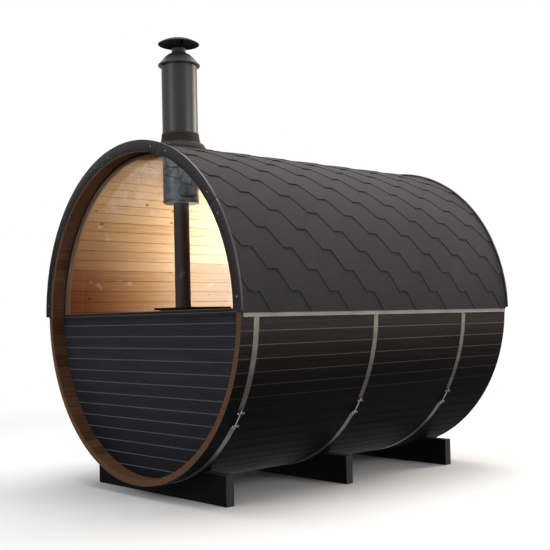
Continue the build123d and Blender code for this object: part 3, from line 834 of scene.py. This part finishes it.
def makeRidge(hole):
    # ridge caps lie along the crown, each over the next one's head
    cap = {
        "half": 0.1, "long": 0.34, "step": 0.2, "rise": 0.00342, "base": 0.0076,
        "thickness": 0.0034, "least": 0.05, "near": 0.13,
    }
    sheets = []
    place = tab["front"]
    while place < tab["rear"] - cap["least"]:
        end = min(place + cap["long"], tab["rear"])
        size = (2 * cap["half"], end - place)
        sheet = startSheet(f"ridge{len(sheets)}", (0, (place + end) / 2, 0), size, 12, 2)
        tone = random.random()
        thickenSheet(sheet, lambda face: tone, cap["thickness"])
        layRound(sheet, lambda at: (
            cap["base"] + cap["rise"] * (1 - (at.y - place) / cap["long"]) + at.z,
            90 - math.degrees(at.x / barrel["roofBase"]),
        ))
        mendFaces(sheet)
        if place < barrel["flueY"] + cap["near"] and end > barrel["flueY"] - cap["near"]:
            cutWith(sheet, hole, keepTool=True)
        sheets.append(sheet)
        place += cap["step"]
    return joinPieces("ridgeCaps", sheets)


def makeShingles():
    courses = [makeStarter()]
    tabs = makeTabs()
    courses += [makeCourse(tabs, number) for number in range(tab["courses"] + 1)]
    hole = startRod("flueHole", tab["hole"], 1.2, 48, (0, barrel["flueY"], axisZ + 1.1))
    for strip in courses[-3:]:
        mendFaces(strip)
        cutWith(strip, hole, keepTool=True)
    right = joinPieces("shinglesRight", courses)
    mendFaces(right)
    left = copyPiece(right, "shinglesLeft")
    flipPiece(left, 0)
    bothFaces = [shingle, shingleCut]
    finishPiece(right, ["roof_courses_right"], bothFaces, 25)
    finishPiece(left, ["roof_courses_left"], bothFaces, 25)
    finishPiece(makeRidge(hole), ["roof_ridge"], bothFaces, 25)
    removePieces(tabs, hole)


def makeWallDisc(face):
    # a many-sided disc that fits inside the staves, with a corner at the first joint
    radius = barrel["inside"] / math.cos(math.pi / barrel["staves"])
    middle = (0, face + barrel["wallDepth"] / 2, axisZ)
    disc = startRod("wallDisc", radius, 3 * barrel["wallDepth"], barrel["staves"], middle, (math.pi / 2, 0, 0))
    first = min(disc.data.vertices, key=lambda v: abs(math.atan2(v.co.z - axisZ, v.co.x)))
    now = math.atan2(first.co.z - axisZ, first.co.x)
    turnRound(disc, now - math.radians(barrel["firstJoint"]))
    return disc


def easeEdges(board, axis, least, width):
    # bevels the long edges, which run along the axis
    editPiece(board, "EDGE")
    pickWhere(board, "edges", lambda edge: abs(edge.verts[0].co[axis] - edge.verts[1].co[axis]) > least)
    bpy.ops.mesh.bevel(offset=width, segments=1, affect="EDGES")
    leaveEdit()


def makeWallBoards(name, face, grid, top, bottom, vee, opening=None):
    # one board is copied down the wall and cut to the shell
    reach, first, pitch = barrel["radius"], grid["first"], grid["pitch"]
    board = startCube("board", (-reach, face, first - pitch), (reach, face + barrel["wallDepth"], first))
    easeEdges(board, 0, reach, vee)
    disc = makeWallDisc(face)
    lid = startCube("lid", (-2, face - 1, top), (2, face + 1, top + 2))
    copies = []
    highest = math.ceil((top - first) / pitch)
    lowest = math.floor((bottom - first) / pitch) + 1
    for number in range(highest, lowest - 1, -1):
        copy = copyPiece(board, f"board{number}", (0, 0, number * pitch))
        if number == highest:
            cutWith(copy, lid, keepTool=True)
        cutWith(copy, disc, "INTERSECT", keepTool=True)
        if opening:
            cutWith(copy, opening, keepTool=True)
        if len(copy.data.polygons):
            copies.append(copy)
        else:
            removePieces(copy)
    removePieces(board, disc, lid, opening)
    return joinPieces(name, copies)


def makeEndWalls():
    vee, gap, through = 0.0028, 0.0004, (0.9, 1.4)
    low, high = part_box("front_wall")
    front = makeWallBoards("frontWallBoards", low.y, frontGrid, high.z, low.z, vee)
    finishPiece(front, ["front_wall"], [frontBoards], 20)
    low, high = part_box("door_frame")
    near, far = (low.x - gap, through[0], low.z - gap), (high.x + gap, through[1], high.z + gap)
    opening = startCube("doorway", near, far)
    face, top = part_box("rear_wall_left")[0].y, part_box("rear_wall_head")[1].z
    rear = makeWallBoards("rearWallBoards", face, rearGrid, top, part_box("rear_wall_foot")[0].z, vee, opening)
    nodes = ["rear_wall_left", "rear_wall_right", "rear_wall_head", "rear_wall_foot"]
    finishPiece(rear, nodes, [rearBoards], 20)


def makePlanks(name, node, count, vee, material, long):
    # planks side by side over the same block as the node; long is the axis that they run along
    low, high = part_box(node)
    size = (high.x - low.x) / count
    plank = startCube("plank", low, (low.x + size, high.y, high.z))
    easeEdges(plank, long, (high[long] - low[long]) / 2, vee)
    copies = [copyPiece(plank, f"{name}{number}", (size * number, 0, 0)) for number in range(count)]
    removePieces(plank)
    finishPiece(joinPieces(name, copies), [node], [material], 20)


def makeScrewHead(name, place, outward, radius=0.0052):
    # a low pan head with a cross recess
    pickNothing()
    bpy.ops.mesh.primitive_cylinder_add(vertices=16, radius=radius, depth=0.003)
    head = namePiece(name)
    editPiece(head)
    pickWhere(head, "faces", lambda face: face.normal.z > 0.9)
    for rise in (0.0008, -0.0012):
        bpy.ops.mesh.inset(thickness=radius * 0.3)
        bpy.ops.transform.translate(value=(0, 0, rise))
    leaveEdit()
    head.rotation_mode = "QUATERNION"
    head.rotation_quaternion = Vector(outward).to_track_quat("Z", "Y")
    head.location = place
    settle(head)
    smoothPiece(head, 30)
    return head


def makeDome():
    # each pair is radius and level above the barrel's axis
    outline = [
        (0.1244, 1.7405), (0.1445, 1.7405), (0.1455, 1.7415), (0.1455, 1.7505), (0.1448, 1.7515),
        (0.1420, 1.7530), (0.1375, 1.7575), (0.1335, 1.7622), (0.1295, 1.7665), (0.1250, 1.7712),
        (0.1195, 1.7775), (0.1130, 1.7858), (0.1065, 1.7945), (0.0995, 1.8025), (0.0910, 1.8100),
        (0.0810, 1.8180), (0.0700, 1.8250), (0.0600, 1.8300), (0.0530, 1.8330), (0.0495, 1.8352),
        (0.0490, 1.8380), (0.0490, 1.8645), (0.0485, 1.8649), (0.0473, 1.8649), (0.0470, 1.8640),
        (0.0470, 1.8200), (0.0470, 1.7640), (0.1244, 1.7640), (0.1244, 1.7405),
    ]
    dome = turnPiece("chimneyDome", outline)
    mendFaces(dome)
    finishPiece(dome, ["chimney_dome"], [domePaint], 40)


def makeRainCap():
    cap = {
        "radius": 0.144, "level": 1.8949, "rise": 0.0449, "wall": 0.002,
        "lip": 0.003, "rings": 14, "curve": 2.15,
    }
    radius, level = cap["radius"], cap["level"]
    outline = [(radius - cap["lip"], level + 0.0008), (radius, level + 0.0002), (radius, level + cap["wall"])]
    for number in range(1, cap["rings"]):
        share = 1 - number / cap["rings"]
        rise = cap["wall"] + (cap["rise"] - cap["wall"]) * (1 - share ** cap["curve"])
        outline.append((radius * share, level + rise))
    outline.append((0.0008, level + cap["rise"]))
    lid = turnPiece("rainCap", outline)
    editPiece(lid, "VERT")
    pickWhere(lid, "verts", lambda vertex: math.hypot(vertex.co.x, vertex.co.y - barrel["flueY"]) < 0.002)
    bpy.ops.mesh.merge(type="CENTER")
    leaveEdit()
    mendFaces(lid)
    applyModifier(lid, "SOLIDIFY", thickness=cap["wall"], offset=-1)
    finishPiece(lid, ["rain_cap"], [capPaint], 40)


def makeBoot():
    # the boot steps outwards below each groove and its flange lies on the roof
    boot = {
        "grooves": ((0.1280, 1.2585), (0.1300, 1.2410), (0.1328, 1.2235), (0.1375, 1.2060)),
        "cut": 0.0030, "roof": 1.1532, "wall": 0.002, "screws": 14, "screwRing": 0.168, "screwRise": 0.0185,
    }
    outline = [(0.1243, 1.2590), (0.1275, 1.2590)]
    for radius, level in boot["grooves"]:
        outline += [(radius, level - 0.0015), (radius + 0.0012, level - 0.0145)]
        outline += [(radius - boot["cut"], level - 0.0160), (radius - boot["cut"], level - 0.0175)]
    outline += [
        (0.1440, 1.1895), (0.1475, 1.1885), (0.1530, 1.1870), (0.1590, 1.1835), (0.1625, 1.1800),
        (0.1660, 1.1750), (0.1705, 1.1690), (0.1738, 1.1650), (0.1748, 1.1600), (0.1750, 1.1540),
    ]
    skin = turnPiece("chimneyBoot", outline)
    for vertex in skin.data.vertices:
        out = math.hypot(vertex.co.x, vertex.co.y - barrel["flueY"])
        above = vertex.co.z - axisZ - boot["roof"]
        drop = boot["roof"] - math.sqrt(boot["roof"] ** 2 - vertex.co.x**2)
        # the flange follows the crown while the collar stays level
        vertex.co.z -= drop * min(1, max(0, (0.036 - above) / 0.03)) if out > 0.14 else 0
    applyModifier(skin, "SOLIDIFY", thickness=boot["wall"], offset=-1)
    mendFaces(skin)
    finishPiece(skin, ["chimney_boot"], [rubber], 28)
    screws = []
    for number in range(boot["screws"]):
        turn = 2 * math.pi * (number + 0.5) / boot["screws"]
        x, out = boot["screwRing"] * math.cos(turn), boot["screwRing"] * math.sin(turn)
        crown = math.sqrt((boot["roof"] + boot["screwRise"]) ** 2 - x**2)
        place = (x, barrel["flueY"] + out, axisZ + crown)
        screws.append(makeScrewHead(f"bootScrew{number}", place, (x, out, 0.22)))
    finishPiece(joinPieces("bootScrews", screws), [], [brightSteel])


def makeFascias():
    # each arch is five sawn segments, screwed near both ends of every one
    arch = {
        "outer": 1.163, "inner": 1.085, "thickness": 0.0152, "segments": 5, "joint": 0.0008, "ease": 0.0015,
        "screwRadius": 1.124, "screwOff": 4.4, "head": 0.0058, "headRise": 0.0023, "proud": 0.0007,
    }
    step = 180 / arch["segments"]
    slack = math.degrees(arch["joint"] / arch["outer"]) / 2
    y = barrel["front"] - arch["thickness"] / 2
    pickNothing()
    bpy.ops.mesh.primitive_plane_add(size=1, location=((arch["outer"] + arch["inner"]) / 2, y, axisZ))
    board = namePiece("segment")
    board.scale = (arch["outer"] - arch["inner"], arch["thickness"], 1)
    settle(board)
    editPiece(board)
    bpy.ops.mesh.select_all(action="SELECT")
    bpy.ops.mesh.spin(steps=24, angle=math.radians(step - 2 * slack), center=(0, y, axisZ), axis=(0, 1, 0))
    leaveEdit()
    mendFaces(board)
    bevelPiece(board, arch["ease"], 2, 40)
    for name, node, face, way in (
        ("fasciaFront", "fascia_front", barrel["front"], -1),
        ("fasciaRear", "fascia_rear", barrel["rear"], 1),
    ):
        boards, screws = [], []
        for number in range(arch["segments"]):
            copy = copyPiece(board, f"{node}{number}")
            turnRound(copy, -math.radians(number * step + slack))
            if way > 0:
                flipPiece(copy, 1)
            boards.append(copy)
            for angle in (number * step + arch["screwOff"], (number + 1) * step - arch["screwOff"]):
                at = face + way * (arch["thickness"] + arch["proud"] - arch["headRise"])
                place = ringPoint(arch["screwRadius"], angle, at)
                screws.append(makeScrewHead(f"{node}Screw{len(screws)}", place, (0, way, 0), arch["head"]))
        finishPiece(joinPieces(name, boards), [node], [fasciaBoard], 30)
        finishPiece(joinPieces(name + "Screws", screws), [], [brightSteel])
    removePieces(board)


hoop = {
    "places": {"band_front": 0.118, "band_middle": 1.159, "band_rear": 2.102},
    "width": 0.04,
    "inside": 1.1403,
    "thickness": 0.0012,
    "upper": -32.4,
    "lower": -37.3,
    "pin": 0.008,
    "pinLength": 0.05,
    "screw": 0.004,
    "overrun": 0.022,
    "clear": 0.0002,
    "slot": 0.016,
    "slotHalf": 0.011,
    "curl": 285,
    "nut": 0.0065,
    "nutHeight": 0.007,
    "washer": 0.0082,
    "washerHeight": 0.0012,
}
hoopY = barrel["front"] + hoop["places"]["band_front"]
eyeRadius = hoop["inside"] + hoop["thickness"] + hoop["clear"] + hoop["pin"]


def makeStrap(name, start, end):
    # a thin face is spun round the barrel and its ends are rolled round the pins
    mid = hoop["inside"] + hoop["thickness"] / 2
    pickNothing()
    place = ringPoint(mid, start, hoopY)
    bpy.ops.mesh.primitive_plane_add(size=1, location=place, rotation=(0, -math.radians(start), 0))
    piece = namePiece(name)
    piece.scale = (hoop["thickness"], hoop["width"], 1)
    settle(piece)
    editPiece(piece)
    bpy.ops.mesh.select_all(action="SELECT")
    steps = max(12, round((end - start) / 1.5))
    centre = (0, hoopY, axisZ)
    bpy.ops.mesh.spin(steps=steps, angle=math.radians(end - start), center=centre, axis=(0, 1, 0))
    largest = hoop["thickness"] * hoop["width"] * 1.2
    for angle, way in ((end, 1), (start, -1)):
        at = ringPoint(mid, angle, hoopY)
        pickWhere(piece, "faces", lambda face: (
            (face.calc_center_median() - at).length < 0.003
            and len(face.verts) == 4 and face.calc_area() < largest
        ))
        eye = ringPoint(eyeRadius, angle, hoopY)
        bpy.ops.mesh.spin(steps=18, angle=-way * math.radians(hoop["curl"]), center=eye, axis=(0, 1, 0))
    leaveEdit()
    mendFaces(piece)
    return piece


def makeTensioner(low, high):
    # two pins, and a threaded rod with a nut and a washer outside each pin
    pins = []
    for place in (low, high):
        pins.append(startRod("pin", hoop["pin"], hoop["pinLength"], 24, place, (math.pi / 2, 0, 0)))
        bevelPiece(pins[-1], 0.0015, 2, 60)
    way = (high - low).normalized()
    length = (high - low).length + 2 * hoop["overrun"]
    turn = way.to_track_quat("Z", "Y").to_euler()
    screws = [startRod("rod", hoop["screw"], length, 20, (low + high) / 2, turn)]
    bevelPiece(screws[0], 0.0008, 1, 60)
    for place, outward in ((low, -1), (high, 1)):
        middle = place + way * outward * (hoop["pin"] + hoop["nutHeight"] / 2 + hoop["clear"])
        screws.append(startRod("nut", hoop["nut"], hoop["nutHeight"], 6, middle, turn))
        bevelPiece(screws[-1], 0.0008, 2, 40)
        middle = place + way * outward * (hoop["pin"] - 0.0004)
        screws.append(startRod("washer", hoop["washer"], hoop["washerHeight"], 24, middle, turn))
        bevelPiece(screws[-1], 0.0004, 1, 60)
    corner = Vector((hoop["slotHalf"], hoop["slot"] / 2, length / 2))
    slot = startCube("slotTool", -corner, corner)
    slot.rotation_euler = turn
    slot.location = (low + high) / 2
    return joinPieces("pinPair", pins), joinPieces("screwSet", screws), settle(slot)


def makeHoops():
    upper = makeStrap("strapUpper", hoop["upper"], 180 - hoop["upper"])
    lower = makeStrap("strapLower", 180 - hoop["lower"], 360 + hoop["lower"])
    straps = joinPieces("strapPair", [upper, lower])
    low, high = (ringPoint(eyeRadius, hoop[key], hoopY) for key in ("lower", "upper"))
    pins, screws, slot = makeTensioner(low, high)
    mirrorTool = copyPiece(slot, "mirrorTool")
    flipPiece(mirrorTool, 0)
    for tool in (slot, mirrorTool):
        cutWith(straps, tool)
    smoothPiece(straps, 30)
    for piece in (pins, screws):
        applyModifier(piece, "MIRROR", use_axis=(True, False, False), use_mirror_merge=False)
        smoothPiece(piece, 30)
    allPins, allScrews = [], []
    for node, place in hoop["places"].items():
        move = (0, barrel["front"] + place - hoopY, 0)
        copy = copyPiece(straps, node.replace("band_", "hoop") + "Straps", move)
        finishPiece(copy, [node], [hoopSteel])
        allPins.append(copyPiece(pins, "pinCopy", move))
        allScrews.append(copyPiece(screws, "screwCopy", move))
    removePieces(straps, pins, screws)
    finishPiece(joinPieces("hoopPins", allPins), ["tensioner_pins"], [brightSteel])
    finishPiece(joinPieces("hoopScrews", allScrews), ["tensioner_screws"], [brightSteel])


dress(staveTimber, *[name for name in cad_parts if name.startswith("staves_")])
dress(timbers["cradleTimber"], "cradle_front", "cradle_middle", "cradle_rear")
dress(timbers["sillTimber"], "front_sill")
dress(stopTimber, "window_stop_outer", "window_stop_inner")
dress(timbers["frameTimber"], "door_frame", "door_handle")
dress(timbers["bearerTimber"], "floor_bearers")
dress(windowGlass, "window_glass")
dress(dripMetal, "drip_edges")
dress(brightSteel, "door_hinges")
dress(ironBlack, "stove_body", "stove_feet", "stove_top")
dress(flueIron, "flue_pipe")
dress(casingPaint, "chimney_casing")
dress(capPaint, "cap_legs")

makeShingles()
makeEndWalls()
makePlanks("doorPlanks", "door_leaf", 7, 0.003, doorBoards, 2)
makePlanks("floorPlanks", "floor_deck", 13, 0.002, timbers["floorTimber"], 1)
makeDome()
makeRainCap()
makeBoot()
makeFascias()
makeHoops()
print("pieces done")


def shownPart(net, path):
    # mirrors and glass see the white surround too, but light that a matt face sends on does not count
    mirrored = net.maths("MAXIMUM", path["Is Glossy Ray"], path["Is Transmission Ray"])
    return net.times(mirrored, net.under(path["Diffuse Depth"], 0.5))


def setStage():
    # pale floor that fades into a white surround
    stage = {
        "radius": 30, "level": -0.0005, "floor": 0.88, "bounce": 0.11,
        "near": 3.0, "far": 7.0, "world": 0.42,
    }
    pickNothing()
    place = (0, 0, stage["level"])
    bpy.ops.mesh.primitive_circle_add(vertices=96, radius=stage["radius"], fill_type="NGON", location=place)
    floor = namePiece("floorStage")
    net = newMaterial("paleFloor", Roughness=0.9)
    distance = net.add("VectorMath", {0: net.place()}, operation="LENGTH").outputs["Value"]
    path = net.add("LightPath").outputs
    bounce, pale = ((stage[key],) * 3 for key in ("bounce", "floor"))
    net.feed(net.shader.inputs["Base Color"], net.mix(path["Is Camera Ray"], bounce, pale))
    faded = net.times(path["Is Camera Ray"], net.span(distance, stage["near"], stage["far"]))
    seen = net.maths("MAXIMUM", faded, shownPart(net, path))
    white = net.add("Emission", {"Color": (1, 1, 1), "Strength": 1.0}).outputs[0]
    both = net.add("MixShader", {0: seen, 1: net.shader.outputs[0], 2: white}).outputs[0]
    net.feed(net.tree.nodes["Material Output"].inputs["Surface"], both)
    floor.data.materials.append(net.material)

    world = bpy.data.worlds.new("surround")
    bpy.context.scene.world = world
    world.use_nodes = True
    net = Net(world.node_tree)
    back = net.tree.nodes["Background"].inputs
    path = net.add("LightPath").outputs
    shown = net.maths("MAXIMUM", path["Is Camera Ray"], shownPart(net, path))
    net.feed(back["Strength"], net.span(shown, 0.0, 1.0, stage["world"], 1.0))
    net.feed(back["Color"], (1, 1, 1))


def makeCard():
    # dull ground and a branchy sky that only mirrors see, for the window's reflections
    card = {
        "place": (-4.2, -4.0, 2.2), "facing": (0.832, 0.553, 0), "size": (11.0, 6.0, 1),
        "skyline": (2.54, 2.89), "ragged": 0.45, "sway": 0.16,
        "branches": 5.0, "branchWidth": (0.010, 0.045), "branchLight": 0.12,
        "dark": (0.012, 0.012, 0.013), "bright": (0.85, 0.93, 1.0),
    }
    pickNothing()
    bpy.ops.mesh.primitive_plane_add(size=1, location=card["place"])
    piece = namePiece("cardStage")
    piece.scale = card["size"]
    piece.rotation_euler = Vector(card["facing"]).to_track_quat("Z", "Y").to_euler()
    settle(piece)
    net = newMaterial("reflectionCard")
    place = net.place()
    level = net.parts(place)[2]
    rough = net.span(net.noise(place, 2.2, 5.0, 0.7), 0.2, 0.8, -card["ragged"], card["ragged"])
    sky = net.span(net.plus(level, rough), *card["skyline"])
    sway = net.add("TexNoise", {"Vector": place, "Scale": 2.0, "Detail": 1.0}).outputs["Color"]
    swayed = {0: sway, 1: (card["sway"],) * 3, 2: place}
    bent = net.add("VectorMath", swayed, operation="MULTIPLY_ADD").outputs[0]
    branches = {"Vector": bent, "Scale": card["branches"]}
    between = net.add("TexVoronoi", branches, feature="DISTANCE_TO_EDGE").outputs[0]
    sky = net.times(sky, net.span(between, *card["branchWidth"], card["branchLight"], 1.0))
    # the sky also shows in places through what grows under the skyline
    gaps = net.times(net.span(net.noise(place, 7.0, 2.5, 0.6), 0.62, 0.70), net.span(level, 1.1, 1.5, 0.0, 0.8))
    colour = net.mix(net.maths("MAXIMUM", sky, gaps), card["dark"], card["bright"])
    glow = net.add("Emission", {"Color": colour, "Strength": 1.0}).outputs[0]
    net.feed(net.tree.nodes["Material Output"].inputs["Surface"], glow)
    piece.data.materials.append(net.material)
    piece.visible_camera = False
    piece.visible_diffuse = False
    piece.visible_shadow = False


def addLamp(name, place, aim, energy, size, colour=(1, 1, 1)):
    pickNothing()
    bpy.ops.object.light_add(type="AREA", location=place)
    lamp = bpy.context.object
    lamp.name = name
    lamp.data.energy = energy
    lamp.data.color = colour
    lamp.data.shape = "RECTANGLE"
    lamp.data.size, lamp.data.size_y = size
    lamp.rotation_euler = (Vector(aim) - Vector(place)).to_track_quat("-Z", "Y").to_euler()
    return lamp


def setLamps():
    addLamp("overheadBox", (-0.5, 0.5, 7.0), (0, 0, 1), 470, (6, 6))
    addLamp("rearBox", (2.0, 8.0, 4.0), (0, -0.9, 2.4), 420, (2.5, 2.5), (1.0, 0.88, 0.78))
    addLamp("frontBox", (-1.0, -8.0, 3.6), (0, 0, 1.6), 160, (5, 3))
    addLamp("sideBox", (8.0, 2.0, 3.4), (0, 0, 1.4), 170, (4, 3))
    # a lamp in the cabin stands in for the sun on the pine
    cabin = addLamp("cabinLamp", (0.24, 0.60, 1.38), (-0.60, 0.22, 2.16), 43, (0.4, 0.4), (0.94, 0.99, 1.08))
    cabin.data.spread = math.radians(120)
    cabin.visible_camera = False
    cabin.visible_glossy = False


def setCamera():
    view = {
        "place": (5.49457, -4.86258, 1.16581),
        "yaw": -0.8084,
        "pitch": 0.0263,
        "roll": -0.0233,
        "focal": 959.96,
        "frame": 550,
        "middle": (315.58, 292.79),
        "film": 36,
    }
    yaw, pitch, roll = view["yaw"], view["pitch"], view["roll"]
    ahead = Vector((math.sin(yaw) * math.cos(pitch), math.cos(yaw) * math.cos(pitch), math.sin(pitch)))
    level = Vector((math.cos(yaw), -math.sin(yaw), 0))
    up = level.cross(ahead)
    side = math.cos(roll) * level + math.sin(roll) * up
    top = -math.sin(roll) * level + math.cos(roll) * up
    pickNothing()
    bpy.ops.object.camera_add(location=view["place"])
    camera = bpy.context.object
    camera.name = "viewCamera"
    turn = Matrix((side, top, -ahead)).transposed()
    camera.matrix_world = Matrix.Translation(view["place"]) @ turn.to_4x4()
    camera.data.sensor_width = view["film"]
    camera.data.lens = view["focal"] * view["film"] / view["frame"]
    camera.data.shift_x = (view["frame"] / 2 - view["middle"][0]) / view["frame"]
    camera.data.shift_y = (view["middle"][1] - view["frame"] / 2) / view["frame"]
    bpy.context.scene.camera = camera


setStage()
makeCard()
setLamps()
setCamera()
bpy.context.scene.view_settings.view_transform = "Standard"
print("stage, lamps and camera")
